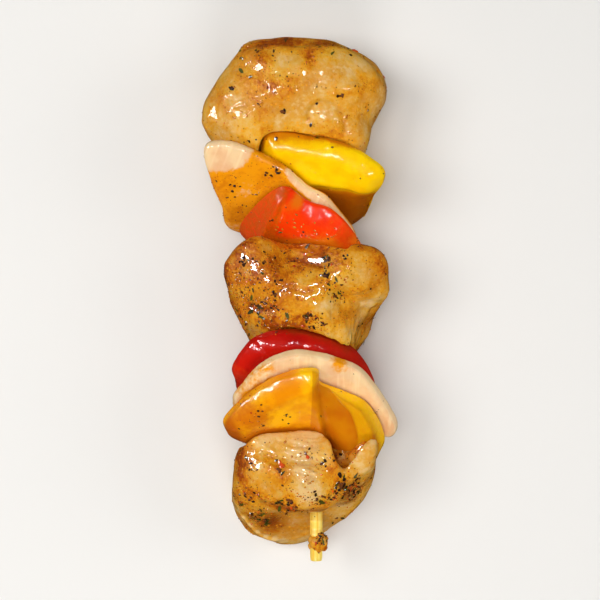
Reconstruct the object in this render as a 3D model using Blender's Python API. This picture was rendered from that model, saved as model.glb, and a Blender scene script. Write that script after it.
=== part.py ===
"""A raw chicken kebab lying down: three marinated chunks of chicken, four pieces of sweet pepper
and two onion petals, threaded on a bamboo stick that runs along Y.

The pieces were pushed together from the handle end, so everything leans towards the point (+Y) above
the stick. Lengths below are millimetres, angles degrees; the objects are built in metres, +Z up.
"""

import math

import bmesh
import bpy
from mathutils import Vector
from mathutils.noise import fractal

MM = 0.001

# Driving dimensions.
STICK_X = 4.8  # the stick is a little right of the pieces' middle
STICK_Z = 17.0  # its axis above the surface that the kebab lies on
STICK_RADIUS = 1.8
STICK_HANDLE_Y = -76.0  # the blunt end
STICK_LENGTH = 147.0
STICK_POINT_Y = STICK_HANDLE_Y + STICK_LENGTH  # it stays inside the first chunk
STICK_TAPER = 14.0  # length of the sharpened end
GAP = 0.3  # free space kept between two pieces
PEPPER_WALL = 6.2
ONION_WALL = 3.4
STACK_LEAN = 34.0  # how far a threaded piece tips at the stick
STACK_CURL = 0.8  # degrees that it tips further for each millimetre above the stick

# Mesh density.
CHUNK_SUBDIVISIONS = 4
SLICE_RINGS = 3
SHARP_ANGLE = 50.0  # between two faces, past which an edge is kept sharp or rounded off
EDGE_WEAR = 0.16  # width of a slice's rounded edge, in shares of its wall
STICK_SIDES = 14


# ---------------------------------------------------------------- common

def clear_scene():
    for old in list(bpy.data.objects):
        bpy.data.objects.remove(old)


def material(name, colour, roughness):
    made = bpy.data.materials.new(name)
    made.use_nodes = True
    shader = made.node_tree.nodes["Principled BSDF"]
    shader.inputs["Base Color"].default_value = (*colour, 1.0)
    shader.inputs["Roughness"].default_value = roughness
    shader.inputs["Metallic"].default_value = 0.0
    return made


def object_from(bm, name, finish=None):
    """Turns a bmesh in millimetres into a smooth-shaded object in metres."""
    bmesh.ops.recalc_face_normals(bm, faces=bm.faces)
    bmesh.ops.scale(bm, vec=(MM, MM, MM), verts=bm.verts)
    mesh = bpy.data.meshes.new(name)
    bm.to_mesh(mesh)
    bm.free()
    mesh.shade_smooth()
    mesh.set_sharp_from_angle(angle=math.radians(SHARP_ANGLE))
    made = bpy.data.objects.new(name, mesh)
    bpy.context.scene.collection.objects.link(made)
    if finish:
        mesh.materials.append(finish)
    return made


def as_cutter(cutter):
    cutter.hide_render = True
    cutter.display_type = "WIRE"
    return cutter


def cut(piece, cutter):
    modifier = piece.modifiers.new("cut by " + cutter.name, "BOOLEAN")
    modifier.operation = "DIFFERENCE"
    modifier.solver = "EXACT"
    modifier.object = cutter


def rod(name, radius, start, end, finish=None):
    """A round rod along Y at the stick's place."""
    bm = bmesh.new()
    bmesh.ops.create_cone(
        bm, cap_ends=True, segments=STICK_SIDES, radius1=radius, radius2=radius, depth=1.0
    )
    for vert in bm.verts:
        x, y, z = vert.co
        vert.co = (STICK_X + x, start + (z + 0.5) * (end - start), STICK_Z + y)
    return object_from(bm, name, finish)


# ---------------------------------------------------------------- slices: pepper and onion

class Sheet:
    """The curved surface that three threaded slices follow, one nested in the next.

    s runs across it and h up it, both along the surface from where the stick goes through.
    """

    def __init__(self, y, yaw, twist, bow, lean=STACK_LEAN, curl=STACK_CURL):
        self.base = Vector((STICK_X, y, STICK_Z))  # where it crosses the stick
        self.across = Vector((math.cos(math.radians(yaw)), math.sin(math.radians(yaw)), 0.0))
        self.away = Vector((-self.across.y, self.across.x, 0.0))  # level, towards the point
        self.bow = bow  # how fast the sides bend back towards the handle, 1/mm
        self.lean, self.twist, self.curl = lean, twist, curl  # degrees, and degrees for each mm

    def point(self, s, h):
        start = math.radians(self.lean + self.twist * s)
        rate = math.radians(self.curl)
        tip = start + rate * h
        out = (math.cos(start) - math.cos(tip)) / rate
        up = (math.sin(tip) - math.sin(start)) / rate
        level = self.across * s + self.away * (out - self.bow * s * s / 2)
        return self.base + level + Vector((0.0, 0.0, up))

    def normal(self, s, h):
        """Square to the surface, on the side that looks to the stick's point."""
        step = 0.05
        right = self.point(s + step, h) - self.point(s - step, h)
        up = self.point(s, h + step) - self.point(s, h - step)
        return up.cross(right).normalized()


def sunk(s, h, hollows):
    """How deep some hollows are together, each given as (s, h, reach, depth)."""
    return sum(
        depth * math.exp(-((s - at_s) ** 2 + (h - at_h) ** 2) / reach**2)
        for at_s, at_h, reach, depth in hollows
    )


class Slice:
    """A piece of vegetable wall which lies along a sheet at its own offset.

    outline holds the (s, h) places that its edge runs through, anticlockwise. slant says how much
    narrower the upper face is at its left end, where the cut side can be seen from above.
    """

    def __init__(self, sheet, offset, wall, outline, slant=0.0, hollows=(), clear=()):
        self.sheet = sheet
        self.offset = offset  # of the wall's middle from the sheet, towards the point
        self.wall = wall
        self.outline = [Vector(place) for place in outline]
        self.middle = sum(self.outline, Vector((0.0, 0.0))) / len(outline)
        self.slant = slant
        self.hollows = hollows  # in the upper face; one of negative depth is a swelling
        self.clear = clear  # the same, where the meat before it stands off and leaves a pocket

    def edge(self):
        """The outline's own places, with one more on a smooth curve between each two."""
        count = len(self.outline)
        for index in range(count):
            before, here, after, later = (self.outline[(index + i) % count] for i in (-1, 0, 1, 2))
            yield here
            yield (here + after) * 0.5625 - (before + later) * 0.0625

    def place(self, at, level, upper, cutter=False):
        s, h = at
        if upper:
            leftness = max(0.0, (self.middle.x - s) / (self.middle.x - min(p.x for p in self.outline)))
            s += self.slant * leftness**2
            level += sunk(s, h, self.hollows)
            level -= sunk(s, h, self.clear) if cutter else 0.0
        return self.sheet.point(s, h) + self.sheet.normal(s, h) * level

    def solid(self, name, finish=None, grow=0.0, extra_up=0.0, extra_away=0.0):
        """The wall as a closed solid. grow enlarges it all round; extra_up and extra_away thicken
        the face that looks up or the one that looks away, which makes the cutters."""
        bm = bmesh.new()
        rims = []
        rings = SLICE_RINGS * 2 if grow and self.clear else SLICE_RINGS
        for upper in (True, False):
            level = self.offset
            level += -self.wall / 2 - grow - extra_up if upper else self.wall / 2 + grow + extra_away
            hub = bm.verts.new(self.place(self.middle, level, upper, grow > 0))
            ring = None
            for share in range(1, rings + 1):
                inner, ring = ring, []
                for place in self.edge():
                    ray = place - self.middle
                    reach = ray.length * share / rings
                    reach += grow * 2 if share == rings else 0.0
                    at = self.middle + ray.normalized() * reach
                    ring.append(bm.verts.new(self.place(at, level, upper, grow > 0)))
                for i in range(len(ring)):
                    if inner:
                        bm.faces.new((inner[i - 1], inner[i], ring[i], ring[i - 1]))
                    else:
                        bm.faces.new((hub, ring[i], ring[i - 1]))
            rims.append(ring)
        near, far = rims
        for i in range(len(near)):
            bm.faces.new((near[i - 1], near[i], far[i], far[i - 1]))
        made = object_from(bm, name, finish)
        if not grow:
            rounding = made.modifiers.new("worn edge", "BEVEL")
            rounding.width = self.wall * EDGE_WEAR * MM
            rounding.segments = 1
            rounding.limit_method = "ANGLE"
            rounding.angle_limit = math.radians(SHARP_ANGLE)
        return made


# ---------------------------------------------------------------- chunks of chicken

def outline_reach(points, angle):
    """Distance from the middle of a closed outline to its edge, at an angle, along a smooth curve."""
    polar = sorted((math.atan2(y, x), math.hypot(x, y)) for x, y in points)
    count = len(polar)
    after = next((i for i, (a, _) in enumerate(polar) if a > angle), 0)

    def knot(index):
        turns, place = divmod(index, count)
        return polar[place][0] + turns * 2 * math.pi, polar[place][1]

    if after == 0 and angle >= polar[-1][0]:
        after = count
    (a0, r0), (a1, r1), (a2, r2), (a3, r3) = (knot(after + i) for i in (-2, -1, 0, 1))
    t = (angle - a1) / (a2 - a1)
    slope1 = (r2 - r0) / (a2 - a0) * (a2 - a1)
    slope2 = (r3 - r1) / (a3 - a1) * (a2 - a1)
    return (
        (2 * t**3 - 3 * t**2 + 1) * r1
        + (t**3 - 2 * t**2 + t) * slope1
        + (3 * t**2 - 2 * t**3) * r2
        + (t**3 - t**2) * slope2
    )


def fade(distance, reach):
    """1 at the middle of a stroke, smoothly down to 0 at its reach."""
    share = max(0.0, 1.0 - (distance / reach) ** 2)
    return share * share


def chunk(name, finish, middle, outline, top, shear, pulls=(), folds=(), fullness=0.72,
          below=1.6, grain=0.5, seed=0.0):
    """A soft lump of meat.

    outline holds (x, y) corners round middle as seen from above, and top is its height. shear is how
    far it leans for each millimetre of height. pulls are (place, reach, move) and draw meat along;
    folds are (start, end, width, depth) and sink a groove between two places.
    """
    bm = bmesh.new()
    bmesh.ops.create_icosphere(bm, subdivisions=CHUNK_SUBDIVISIONS, radius=1.0)
    corners = [(x - middle[0], y - middle[1]) for x, y in outline]
    half = (top + below) / 2
    centre = Vector((middle[0], middle[1], half - below))
    for vert in bm.verts:
        ray = vert.co.normalized()
        level = math.hypot(ray.x, ray.y)
        reach = outline_reach(corners, math.atan2(ray.y, ray.x)) * level**fullness
        spot = centre + Vector((ray.x, ray.y, 0)) / max(level, 1e-6) * reach
        spot.z += math.copysign(abs(ray.z) ** fullness * half, ray.z)
        spot.y += shear * (spot.z - STICK_Z)
        outward = Vector((ray.x * half, ray.y * half, ray.z * reach + ray.z * 4)).normalized()
        for place, width, move in pulls:
            spot += Vector(move) * fade((spot - Vector(place)).length, width)
        for start, end, width, depth in folds:
            spot -= outward * depth * fade(distance_to_line(spot, Vector(start), Vector(end)), width)
        spot += outward * grain * fractal(spot * 0.13 + Vector((seed, 0, 0)), 1.0, 2.0, 3)
        spot.z = max(spot.z, 0.0)
        vert.co = spot
    return object_from(bm, name, finish)


def distance_to_line(point, start, end):
    along = end - start
    share = max(0.0, min(1.0, (point - start).dot(along) / along.length_squared))
    return (point - start - along * share).length


# ---------------------------------------------------------------- the pieces

NEST_STEP = PEPPER_WALL / 2 + ONION_WALL / 2 + GAP + 0.1  # from an onion's middle to a pepper's
YELLOW_SHEET = Sheet(y=31.3, yaw=-14, twist=-0.3, bow=0.014, curl=1.0)
UPPER_SHEET = Sheet(y=20.8, yaw=-24, twist=-0.35, bow=0.02)
LOWER_SHEET = Sheet(y=-31.4, yaw=-2, twist=0.1, bow=0.024)

SLICES = {
    "yellow_pepper": Slice(
        YELLOW_SHEET, 0.0, PEPPER_WALL,
        outline=[(-15, -12), (-1, -15), (11, -15), (15, -8), (16, 6), (17.5, 13), (15.5, 18),
                 (4, 19.5), (-6, 18.5), (-13, 19), (-18, 17.5), (-17.5, 7)],
        hollows=[(13, 0, 8, 2.4)],
    ),
    "onion_upper": Slice(
        UPPER_SHEET, 0.0, ONION_WALL,
        outline=[(-23, -7), (-28, 4), (-33, 14), (-38, 26), (-33, 27), (-23, 22.5), (-14, 18.5),
                 (-7, 14.5), (-1, 13.5), (5, 10), (11, 6), (13, -3), (7, -12), (-8, -12)],
    ),
    "red_pepper_upper": Slice(
        UPPER_SHEET, -NEST_STEP, PEPPER_WALL, slant=5.0,
        outline=[(-22, -5), (-19.5, 7), (-14, 14.5), (-5, 12), (1, 13), (6, 12.5), (11, 10.5),
                 (15, 7.5), (15, -4), (9, -13), (-3, -15), (-14, -13)],
    ),
    "red_pepper_lower": Slice(
        LOWER_SHEET, NEST_STEP + 1.0, PEPPER_WALL,
        outline=[(-19, -4), (-20.5, 11), (-21.5, 18.5), (-18, 25), (-15, 27), (-8, 27), (0, 24.5),
                 (9, 20), (13.5, 12), (15, 0), (11, -13), (-2, -15), (-14, -13)],
    ),
    "onion_lower": Slice(
        LOWER_SHEET, 0.0, ONION_WALL,
        outline=[(-22, 3), (-23.5, 13.5), (-21, 18), (-16.5, 23), (-8, 25), (-1, 23.5), (6, 22),
                 (12, 20), (18.5, 12.5), (23, 5), (23, -1), (19, -5), (8, -11), (-6, -12),
                 (-17, -7)],
    ),
    "golden_pepper": Slice(
        LOWER_SHEET, -NEST_STEP, PEPPER_WALL,
        outline=[(-24, 0), (-28, 11.5), (-24, 16), (-18, 18.5), (-9, 20.5), (-0.5, 20), (1, 15.5),
                 (9, 13), (15, 11), (20, 4), (21, -6), (13, -13), (-1, -15), (-15, -12)],
        hollows=[(8, 12, 6, 2.0), (12.5, -4, 8, -5.0)],
        clear=[(9, 9, 5.5, 8), (12, 2, 5.5, 8)],
    ),
}


def chicken_top(finish):
    return chunk(
        "chicken_top", finish, middle=(-1, 54), top=33.0, shear=0.12, seed=1.0,
        outline=[(25.5, 60), (24, 66), (18.5, 71), (12.5, 74), (3, 75.5), (-8, 75.5),
                 (-16, 74), (-20.5, 68.5), (-25.5, 61), (-27.8, 53.5), (-25.5, 46.5), (-15, 36),
                 (0, 28), (12, 32), (19, 43), (21.5, 52)],
        pulls=[((16, 44, 26), 10, (1, 0, 2)), ((-26, 52, 20), 10, (-1, -1, 2)),
               ((2, 42, 34), 18, (0, 4, -3))],
        folds=[((2, 53, 34), (14, 54, 32), 4.5, 1.8)],
    )


def chicken_middle(finish):
    return chunk(
        "chicken_middle", finish, middle=(1, -2), top=34.0, shear=0.62, seed=4.0,
        outline=[(23, 0), (22, 8), (12, 14), (-4, 14), (-15, 12), (-20, 5), (-18, -8),
                 (-9, -18), (4, -21), (13, -20), (16, -12)],
        pulls=[((24, 10, 22), 13, (3, 2, 3)), ((25, 0, 20), 8, (2.5, 0, 1)),
               ((23, -11, 16), 8, (-4, 0, 0)),
               ((14, -14, 24), 9, (1.5, -6, 2)),
               ((-20, 8, 26), 12, (-2.5, 2, 1)), ((0, 18, 32), 17, (0, -3, -6)),
               ((-12, 14, 30), 9, (0, 3, 1)),
               ((-20, -12, 8), 14, (4, 2, 0))],
        folds=[((32, -5, 16), (12, 0, 36), 6, 4.5), ((26, -9, 10), (17, -9, 34), 6, 5.0)],
    )


def chicken_bottom(finish):
    return chunk(
        "chicken_bottom", finish, middle=(1, -52), top=32.0, shear=0.55, seed=7.0,
        outline=[(22.5, -47), (20, -40), (8, -37), (-8, -37), (-17, -42), (-19, -50), (-19, -59),
                 (-9, -65.5), (4, -66), (13, -61), (20, -54)],
        pulls=[((-8, -68, 4), 20, (-1, -1.5, 0)), ((4, -60, 28), 12, (0, -1, 1)),
               ((0, -34, 34), 18, (0, -4, -6)), ((21, -43, 26), 7, (1.5, 2, 4))],
        folds=[((-3, -66, 18), (14, -66, 18), 9, 6.5)],
    )


def thread(piece, hole, neighbours=()):
    """Bores a piece for the stick, and takes away where it would run into a neighbour."""
    for neighbour in neighbours:
        cut(piece, neighbour)
    cut(piece, hole)


def stick(finish):
    """The bamboo stick, blunt at the handle and sharpened at the other end."""
    shaft = rod("stick", STICK_RADIUS, STICK_HANDLE_Y, STICK_POINT_Y, finish)
    bm = bmesh.new()
    bm.from_mesh(shaft.data)
    tip = [vert for vert in bm.verts if vert.co.y > (STICK_POINT_Y - 1) * MM]
    bmesh.ops.bisect_plane(
        bm, geom=bm.verts[:] + bm.edges[:] + bm.faces[:],
        plane_co=(0, (STICK_POINT_Y - STICK_TAPER) * MM, 0), plane_no=(0, 1, 0),
    )
    for vert in tip:
        vert.co.x = STICK_X * MM + (vert.co.x - STICK_X * MM) * 0.12
        vert.co.z = STICK_Z * MM + (vert.co.z - STICK_Z * MM) * 0.12
    bm.to_mesh(shaft.data)
    bm.free()
    return shaft


def main():
    clear_scene()
    meat = material("marinated chicken", (0.62, 0.32, 0.08), 0.25)
    finishes = {
        "yellow": material("yellow pepper", (0.9, 0.52, 0.01), 0.25),
        "golden": material("golden pepper", (0.88, 0.36, 0.005), 0.25),
        "red": material("red pepper", (0.7, 0.03, 0.005), 0.22),
        "onion": material("onion", (0.84, 0.6, 0.3), 0.3),
    }
    bamboo = material("bamboo", (0.85, 0.5, 0.12), 0.6)

    stick(bamboo)
    hole = as_cutter(rod("stick hole", STICK_RADIUS + GAP, STICK_HANDLE_Y - 20, STICK_POINT_Y + GAP))
    for name, piece in SLICES.items():
        finish = next(made for word, made in finishes.items() if word in name)
        thread(piece.solid(name, finish), hole)

    # A chunk ends where its neighbouring slices begin: the cutters are those slices, a gap larger
    # and thickened away from the chunk.
    reach = 30.0
    toward_handle = {
        name: as_cutter(SLICES[name].solid(name + " and beyond", grow=GAP, extra_up=reach))
        for name in ("yellow_pepper", "onion_upper", "red_pepper_lower")
    }
    toward_point = {
        name: as_cutter(SLICES[name].solid(name + " and before", grow=GAP, extra_away=reach))
        for name in ("red_pepper_upper", "onion_upper", "golden_pepper", "onion_lower")
    }
    thread(
        chicken_top(meat), hole, [toward_handle["yellow_pepper"], toward_handle["onion_upper"]]
    )
    thread(
        chicken_middle(meat), hole,
        [toward_point["red_pepper_upper"], toward_point["onion_upper"], toward_handle["red_pepper_lower"]],
    )
    thread(
        chicken_bottom(meat), hole, [toward_point["golden_pepper"], toward_point["onion_lower"]]
    )


main()
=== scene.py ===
import math

import bmesh
import bpy
import numpy as np
from mathutils import Matrix, Vector, noise
from mathutils.bvhtree import BVHTree


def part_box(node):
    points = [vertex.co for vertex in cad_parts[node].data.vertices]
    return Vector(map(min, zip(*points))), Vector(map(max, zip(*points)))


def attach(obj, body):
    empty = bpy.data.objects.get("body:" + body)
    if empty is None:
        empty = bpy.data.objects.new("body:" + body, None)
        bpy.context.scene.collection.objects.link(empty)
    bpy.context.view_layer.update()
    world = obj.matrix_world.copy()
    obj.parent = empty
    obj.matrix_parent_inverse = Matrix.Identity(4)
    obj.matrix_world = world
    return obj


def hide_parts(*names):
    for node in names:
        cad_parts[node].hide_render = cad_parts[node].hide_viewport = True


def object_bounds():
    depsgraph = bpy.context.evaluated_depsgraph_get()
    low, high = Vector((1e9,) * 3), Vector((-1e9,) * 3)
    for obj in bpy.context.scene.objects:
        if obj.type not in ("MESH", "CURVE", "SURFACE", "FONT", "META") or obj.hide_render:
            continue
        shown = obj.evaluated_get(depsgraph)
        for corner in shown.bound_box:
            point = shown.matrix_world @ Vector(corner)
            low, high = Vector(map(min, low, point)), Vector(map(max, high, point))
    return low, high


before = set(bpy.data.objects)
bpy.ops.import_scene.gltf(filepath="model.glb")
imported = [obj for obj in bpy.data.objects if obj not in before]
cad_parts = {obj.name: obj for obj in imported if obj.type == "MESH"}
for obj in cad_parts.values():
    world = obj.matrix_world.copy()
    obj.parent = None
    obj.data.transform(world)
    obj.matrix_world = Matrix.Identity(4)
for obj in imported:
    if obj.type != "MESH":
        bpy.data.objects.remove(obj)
solidBox = [list(corner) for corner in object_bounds()]
mm = 0.001  # shapes are worked on in millimetres and stored in metres


# Finishes: each is one material, with the nodes that feed its shader. Colours are as a screen gives them.

def screen(red, green, blue):  # 0 to 255
    return tuple(((c / 255 + 0.055) / 1.055) ** 2.4 if c > 10 else c / 3294.6 for c in (red, green, blue))


class Finish:
    def __init__(self, name, **fixed):
        self.material = bpy.data.materials.new(name)
        self.material.use_nodes = True
        self.nodes = self.material.node_tree.nodes
        self.shader = self.nodes["Principled BSDF"]
        for key, value in fixed.items():
            self.shader.inputs[key.replace("_", " ")].default_value = value
        self.place = self.nodes.new("ShaderNodeTexCoord").outputs["Object"]

    def link(self, socket, value):
        if isinstance(value, bpy.types.NodeSocket):
            self.material.node_tree.links.new(value, socket)
        elif isinstance(value, tuple):
            socket.default_value = (*screen(*value), 1)
        else:
            socket.default_value = value

    def plug(self, name, value):
        self.link(self.shader.inputs[name], value)

    def painted(self, name, output="Fac"):  # what is stored on the piece's own vertices
        made = self.nodes.new("ShaderNodeAttribute")
        made.attribute_name = name
        return made.outputs[output]

    def calc(self, operation, first, second, clamp=False):
        made = self.nodes.new("ShaderNodeMath")
        made.operation = operation
        made.use_clamp = clamp
        self.link(made.inputs[0], first)
        self.link(made.inputs[1], second)
        return made.outputs[0]

    def times(self, first, second):
        return self.calc("MULTIPLY", first, second)

    def waver(self, value, pattern, amount, clamp=False):  # up and down with a pattern around 0.5
        return self.calc("ADD", value, self.times(self.calc("SUBTRACT", pattern, 0.5), amount), clamp)

    def mix(self, share, first, second, how="MIX"):
        made = self.nodes.new("ShaderNodeMix")
        made.data_type = "RGBA"
        made.blend_type = how
        for index, value in ((0, share), (6, first), (7, second)):
            self.link(made.inputs[index], value)
        return made.outputs[2]

    def ramp(self, value, stops, read=screen):
        made = self.nodes.new("ShaderNodeValToRGB")
        self.link(made.inputs[0], value)
        cells = made.color_ramp.elements
        while len(cells) < len(stops):
            cells.new(0.5)
        for cell, (at, colour) in zip(cells, stops):
            cell.position = at
            cell.color = (*read(*colour), 1)
        return made.outputs[0]

    def spread(self, value, low, high, start=0, end=1):
        made = self.nodes.new("ShaderNodeMapRange")
        made.interpolation_type = "SMOOTHSTEP"
        self.link(made.inputs[0], value)
        for index, fixed in enumerate((low, high, start, end), 1):
            made.inputs[index].default_value = fixed
        return made.outputs[0]

    def moved(self, place, seed, stretch, turn):
        made = self.nodes.new("ShaderNodeMapping")
        self.link(made.inputs["Vector"], place)
        made.inputs["Location"].default_value = (seed * 0.31, seed * 0.17, seed * 0.23)
        made.inputs["Rotation"].default_value = turn
        made.inputs["Scale"].default_value = stretch
        return made.outputs[0]

    def cloud(self, sizeMm, seed=0, detail=3, rough=0.55, stretch=(1, 1, 1), turn=(0, 0, 0), place=None):
        made = self.nodes.new("ShaderNodeTexNoise")
        self.link(made.inputs["Vector"], self.moved(place or self.place, seed, stretch, turn))
        made.inputs["Scale"].default_value = 1000 / sizeMm
        made.inputs["Detail"].default_value = detail
        made.inputs["Roughness"].default_value = rough
        return made.outputs[0]

    def speckle(self, cellMm, share, seed=0, size=0.3):  # spots in a share of the cells
        made = self.nodes.new("ShaderNodeTexVoronoi")
        self.link(made.inputs["Vector"], self.moved(self.place, seed, (1, 1, 1), (0, 0, 0)))
        made.inputs["Scale"].default_value = 1000 / cellMm
        pick = self.nodes.new("ShaderNodeSeparateColor")
        self.link(pick.inputs[0], made.outputs["Color"])
        near = self.spread(made.outputs["Distance"], size * 0.6, size, 1, 0)
        return self.times(near, self.calc("GREATER_THAN", pick.outputs[0], 1 - share))

    def bump(self, height, depthMm, onto=None):
        made = self.nodes.new("ShaderNodeBump")
        self.link(made.inputs["Height"], height)
        made.inputs["Strength"].default_value = 1
        made.inputs["Distance"].default_value = depthMm * mm
        if onto is not None:
            self.link(made.inputs["Normal"], onto)
        return made.outputs[0]


# Camera, light and table.

def inScene(name, data):
    made = bpy.data.objects.new(name, data)
    bpy.context.scene.collection.objects.link(made)
    return made


def meshFrom(bm, name):
    mesh = bpy.data.meshes.new(name)
    bm.to_mesh(mesh)
    bm.free()
    return mesh


view = {"lens": 90, "fill": 0.88, "lift": 0.6}
table = {"size": 3.0, "colour": (0.78, 0.775, 0.765), "roughness": 0.75, "shine": 0.2}
room = {"colour": (1.0, 0.99, 0.98), "strength": 0.13}
lamps = {  # the soft ones light the food, and the panes only show as glints on what is wet
    "window": {"place": (-0.44, 0.1, 0.6), "size": 0.34, "power": 2.75, "colour": (1, 0.985, 0.95)},
    "above": {"place": (-0.07, 0, 0.7), "size": 0.3, "power": 1.5, "colour": (1, 0.99, 0.97)},
    "right": {"place": (0.62, 0.1, 0.36), "size": 0.4, "power": 1.5, "colour": (1, 0.98, 0.95)},
    "front": {"place": (0.05, -0.6, 0.46), "size": 0.4, "power": 2.4, "colour": (1, 0.98, 0.95)},
    "pane": {"place": (-0.38, 0.12, 0.52), "size": 0.17, "power": 3.6},
    "paneLow": {"place": (-0.6, 0.16, 0.36), "size": 0.15, "power": 3.1},
    "paneTop": {"place": (-0.06, 0.14, 0.62), "size": 0.08, "power": 0.9},
    "paneRight": {"place": (0.22, 0.06, 0.6), "size": 0.06, "power": 0.45},
}


def addCamera():
    low, high = (Vector(corner) for corner in solidBox)
    data = bpy.data.cameras.new("camera")
    data.lens = view["lens"]
    made = inScene("camera", data)
    half = (high.y - low.y) / 2 / view["fill"]
    away = high.z * view["lift"] + half * data.lens / (data.sensor_width / 2)
    made.location = ((low.x + high.x) / 2, (low.y + high.y) / 2, away)
    made.rotation_euler = (0, 0, 0)  # straight down, +Y up
    bpy.context.scene.camera = made


def addTable():
    bm = bmesh.new()
    bmesh.ops.create_grid(bm, x_segments=4, y_segments=4, size=table["size"] / 2)
    mesh = meshFrom(bm, "table")
    finish = Finish("table", Roughness=table["roughness"], Specular_IOR_Level=table["shine"])
    finish.shader.inputs["Base Color"].default_value = (*table["colour"], 1)
    mesh.materials.append(finish.material)
    made = inScene("table", mesh)
    made.visible_glossy = False  # a white table would grey the wet sides


def addLamp(name, facts):
    lamp = bpy.data.lights.new(name, "AREA")
    lamp.shape = "SQUARE"
    lamp.size = facts["size"]
    lamp.energy = facts["power"]
    lamp.color = facts.get("colour", (1, 1, 1))
    made = inScene(name, lamp)
    made.location = facts["place"]
    made.rotation_euler = (-Vector(facts["place"])).to_track_quat("-Z", "Y").to_euler()
    made.visible_glossy = name.startswith("pane")
    made.visible_diffuse = not made.visible_glossy


addCamera()
addTable()
for lampName, lampFacts in lamps.items():
    addLamp(lampName, lampFacts)
world = bpy.data.worlds.new("studio")
world.use_nodes = True
world.node_tree.nodes["Background"].inputs["Color"].default_value = (*room["colour"], 1)
world.node_tree.nodes["Background"].inputs["Strength"].default_value = room["strength"]
world.cycles_visibility.glossy = False
bpy.context.scene.world = world
bpy.context.scene.view_settings.view_transform = "Standard"
print("camera, lights and table set")


# Shared work on shapes.

def placesOf(mesh):
    flat = np.empty(len(mesh.vertices) * 3, np.float32)
    mesh.vertices.foreach_get("co", flat)
    return flat.reshape(-1, 3).astype(float)


def normalsOf(mesh):
    flat = np.empty(len(mesh.vertices) * 3, np.float32)
    mesh.vertex_normals.foreach_get("vector", flat)
    return flat.reshape(-1, 3).astype(float)


def setPlaces(mesh, places):
    mesh.vertices.foreach_set("co", places.astype(np.float32).ravel())
    mesh.update()


def paint(mesh, **layers):  # one value, or one place, for each vertex
    for name, values in layers.items():
        kind, field = ("FLOAT", "value") if values.ndim == 1 else ("FLOAT_VECTOR", "vector")
        layer = mesh.attributes.new(name, kind, "POINT")
        layer.data.foreach_set(field, values.astype(np.float32).ravel())


def evenMesh(bm, name, cellMm, rounds):  # small even faces all over, then softened
    start = meshFrom(bm, "start")
    holder = inScene("clay", start)
    cells = holder.modifiers.new("cells", "REMESH")
    cells.mode = "VOXEL"
    cells.voxel_size = cellMm
    soft = holder.modifiers.new("soft", "SMOOTH")
    soft.factor = 0.5
    soft.iterations = rounds
    made = bpy.data.meshes.new_from_object(holder.evaluated_get(bpy.context.evaluated_depsgraph_get()))
    bpy.data.objects.remove(holder)
    bpy.data.meshes.remove(start)
    made.name = name
    return made


def soften(mesh, rounds):
    bm = bmesh.new()
    bm.from_mesh(mesh)
    for _ in range(rounds):
        bmesh.ops.smooth_vert(bm, verts=bm.verts, factor=0.5, use_axis_x=True, use_axis_y=True, use_axis_z=True)
    bm.to_mesh(mesh)
    bm.free()
    mesh.update()


def treeOf(mesh, scale=1):
    bm = bmesh.new()
    bm.from_mesh(mesh)
    bmesh.ops.scale(bm, vec=(scale, scale, scale), verts=bm.verts)
    made = BVHTree.FromBMesh(bm)
    bm.free()
    return made


def lumps(places, sizeMm, seed, octaves=2, stretch=(1, 1, 1)):
    shift = Vector((seed * 13.1, seed * 7.7, seed * 3.3))
    scaled = places * (np.array(stretch) / sizeMm)
    return np.array([noise.fractal(Vector(place) + shift, 1.0, 2.0, octaves) for place in scaled])


def fade(distance, reach):
    return np.exp(-((distance / reach) ** 2))


def rise(value, low, high):
    share = np.clip((value - low) / (high - low), 0, 1)
    return share * share * (3 - 2 * share)


def smoothPath(points, every=0.4, closed=False):  # a curve through the points, evenly cut
    knots = np.array(points, float)
    if closed:
        knots = np.vstack((knots[-1], knots, knots[0], knots[1]))
    else:
        knots = np.vstack((knots[0], knots, knots[-1]))
    run = []
    for before, here, after, later in zip(knots, knots[1:], knots[2:], knots[3:]):
        for t in np.linspace(0, 1, max(2, int(np.linalg.norm(after - here) / every)), endpoint=False):
            run.append(
                0.5 * (2 * here + (after - before) * t + (2 * before - 5 * here + 4 * after - later) * t**2
                       + (3 * here - before - 3 * after + later) * t**3)
            )
    if not closed:
        run.append(knots[-2])
    return np.array(run)


def nearPath(places, path, reach):  # distance to the path, the side (left is +) and the end's taper
    gap, side, taper = (np.full(len(places), fill) for fill in (1e3, 0.0, 0.0))
    if len(path) < 3:
        return gap, side, taper
    heading = np.gradient(path, axis=0)
    heading /= np.linalg.norm(heading[:, :2], axis=1)[:, None] + 1e-9
    steps = np.linalg.norm(np.diff(path, axis=0), axis=1)
    along = np.concatenate(([0], np.cumsum(steps)))
    ends = np.minimum(along, along[-1] - along)
    width = path.shape[1]
    low, high = path.min(0) - reach, path.max(0) + reach
    close = np.flatnonzero(((places[:, :width] > low) & (places[:, :width] < high)).all(1))
    for block in np.array_split(close, max(1, len(close) // 8000)):
        away = places[block][:, None, :width] - path[None]
        squared = (away**2).sum(2)
        best = squared.argmin(1)
        rows = np.arange(len(block))
        gap[block] = np.sqrt(squared[rows, best])
        off = away[rows, best]
        side[block] = heading[best, 0] * off[:, 1] - heading[best, 1] * off[:, 0]
        taper[block] = ends[best]
    return gap, side, taper


def ledge(height, path, **facts):  # a step, its high side on the left of the path
    return {"kind": "ledge", "height": height, "path": path, **facts}


def line(height, path, **facts):  # a swell, or a groove where the height is below 0
    return {"kind": "line", "height": height, "path": path, **facts}


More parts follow.
